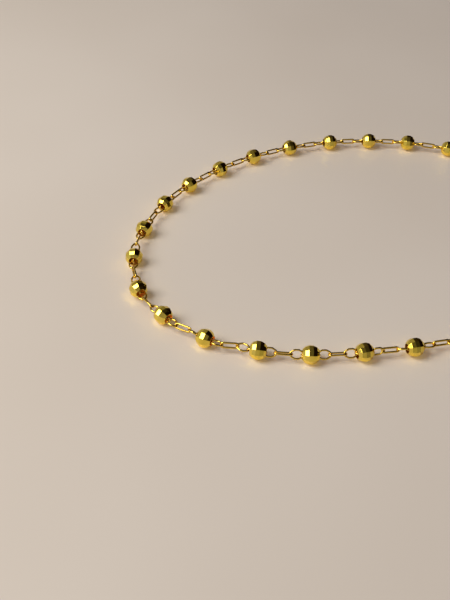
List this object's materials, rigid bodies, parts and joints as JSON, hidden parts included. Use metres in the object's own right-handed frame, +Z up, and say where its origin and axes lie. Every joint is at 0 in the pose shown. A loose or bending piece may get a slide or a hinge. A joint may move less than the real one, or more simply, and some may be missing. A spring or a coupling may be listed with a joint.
{
  "type": "beaded choker",
  "caption": "Fine gold chain choker strung with evenly spaced faceted hollow beads, closed by a plain spring-ring clasp and laid flat in a loop.",
  "frame": {"origin": "centre of the loop's box in X and Y, on the surface that the beads rest on", "axes": "+X along the loop's long way towards the clasp, +Y across the loop towards its straighter back, +Z up"},
  "size_m": [0.1504, 0.0896, 0.004],
  "materials": {
    "bead_gold": "mirror-cut facets",
    "chain_gold": "polished wire",
    "clasp_gold": "polished"
  },
  "bodies": {
    "root": {"bead_01": "bead_gold", "bead_02": "bead_gold", "bead_03": "bead_gold", "bead_04": "bead_gold", "bead_05": "bead_gold", "bead_06": "bead_gold", "bead_07": "bead_gold", "bead_08": "bead_gold", "bead_09": "bead_gold", "bead_10": "bead_gold", "bead_11": "bead_gold", "bead_12": "bead_gold", "bead_13": "bead_gold", "bead_14": "bead_gold", "bead_15": "bead_gold", "bead_16": "bead_gold", "bead_17": "bead_gold", "bead_18": "bead_gold", "bead_19": "bead_gold", "bead_20": "bead_gold", "bead_21": "bead_gold", "bead_22": "bead_gold", "bead_23": "bead_gold", "bead_24": "bead_gold", "bead_25": "bead_gold", "bead_26": "bead_gold", "bead_27": "bead_gold", "bead_28": "bead_gold", "bead_29": "bead_gold", "bead_30": "bead_gold", "bead_31": "bead_gold", "bead_32": "bead_gold", "chain": "chain_gold", "clasp": "clasp_gold"}
  },
  "joints": []
}
